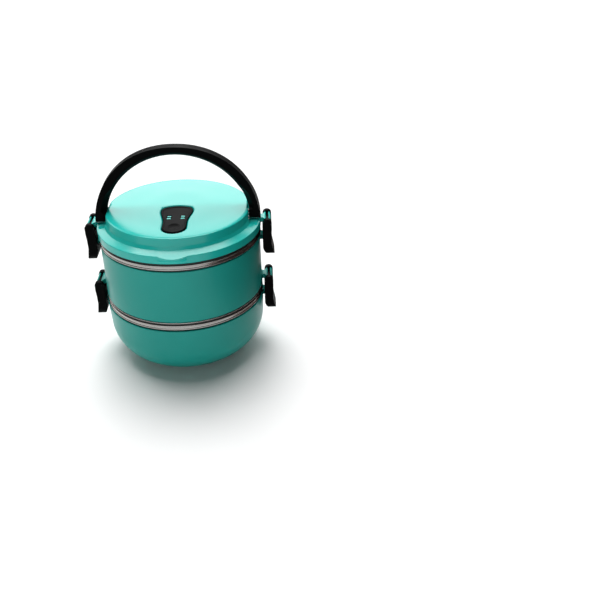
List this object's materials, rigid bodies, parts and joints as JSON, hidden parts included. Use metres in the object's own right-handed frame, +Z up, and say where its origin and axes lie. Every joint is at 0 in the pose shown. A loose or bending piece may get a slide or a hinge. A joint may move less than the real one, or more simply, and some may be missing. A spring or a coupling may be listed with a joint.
{
  "type": "tiffin carrier",
  "caption": "Tiered round lunch carrier: steel bowls in plastic shells under a vented lid, with side clasps and split handle hoops that fold down around the lid.",
  "frame": {"origin": "on the table surface, under the middle of the stack", "axes": "+Z up through the stack, clasps on +X and -X, thumb tab and vent's thumb end towards -Y"},
  "size_m": [0.1714, 0.15, 0.2006],
  "materials": {
    "teal_plastic": "moulded, soft gloss",
    "black_plastic": "moulded, soft gloss",
    "steel": "spun and polished",
    "pin_steel": "drawn wire",
    "black_rubber": "silicone, satin"
  },
  "bodies": {
    "lower_tier": {"lower_shell": "teal_plastic", "lower_bowl": "steel", "lower_rim_gasket": "black_rubber"},
    "upper_tier": {"upper_shell": "teal_plastic", "upper_bowl": "steel", "upper_rim_gasket": "black_rubber", "upper_base_seal": "black_rubber", "upper_trim_ring": "steel"},
    "lid": {"lid_cover": "teal_plastic", "lid_inner_plate": "teal_plastic", "lid_seal": "black_rubber", "front_left_pin": "pin_steel", "front_right_pin": "pin_steel", "rear_left_pin": "pin_steel", "rear_right_pin": "pin_steel"},
    "vent": {"vent_flap": "black_plastic", "vent_plug": "black_rubber"},
    "front_bail": {"front_bail": "black_plastic"},
    "rear_bail": {"rear_bail": "black_plastic"},
    "lid_clasp_left": {"lid_clasp_left": "black_plastic"},
    "lid_clasp_right": {"lid_clasp_right": "black_plastic"},
    "tier_clasp_left": {"tier_clasp_left": "black_plastic"},
    "tier_clasp_right": {"tier_clasp_right": "black_plastic"}
  },
  "joints": [
    {"name": "upper_tier_lift", "type": "slide", "parent": "lower_tier", "child": "upper_tier", "axis": [0, 0, 1], "range_m": [0, 0.12]},
    {"name": "lid_lift", "type": "slide", "parent": "upper_tier", "child": "lid", "axis": [0, 0, 1], "range_m": [0, 0.12]},
    {"name": "vent_tilt", "type": "hinge", "parent": "lid", "child": "vent", "pos_m": [0, -0.024, 0.1429], "axis": [-1, 0, 0], "range_deg": [0, 12]},
    {"name": "front_bail_fold", "type": "hinge", "parent": "lid", "child": "front_bail", "pos_m": [0, -0.0068, 0.1344], "axis": [1, 0, 0], "range_deg": [0, 90]},
    {"name": "rear_bail_fold", "type": "hinge", "parent": "lid", "child": "rear_bail", "pos_m": [0, 0.0068, 0.1344], "axis": [-1, 0, 0], "range_deg": [0, 90]},
    {"name": "lid_clasp_left_swing", "type": "hinge", "parent": "lid", "child": "lid_clasp_left", "pos_m": [-0.0796, 0, 0.1296], "axis": [0, 1, 0], "range_deg": [0, 110]},
    {"name": "lid_clasp_right_swing", "type": "hinge", "parent": "lid", "child": "lid_clasp_right", "pos_m": [0.0796, 0, 0.1296], "axis": [0, -1, 0], "range_deg": [0, 110]},
    {"name": "tier_clasp_left_swing", "type": "hinge", "parent": "upper_tier", "child": "tier_clasp_left", "pos_m": [-0.0796, 0, 0.0705], "axis": [0, 1, 0], "range_deg": [0, 110]},
    {"name": "tier_clasp_right_swing", "type": "hinge", "parent": "upper_tier", "child": "tier_clasp_right", "pos_m": [0.0796, 0, 0.0705], "axis": [0, -1, 0], "range_deg": [0, 110]}
  ]
}
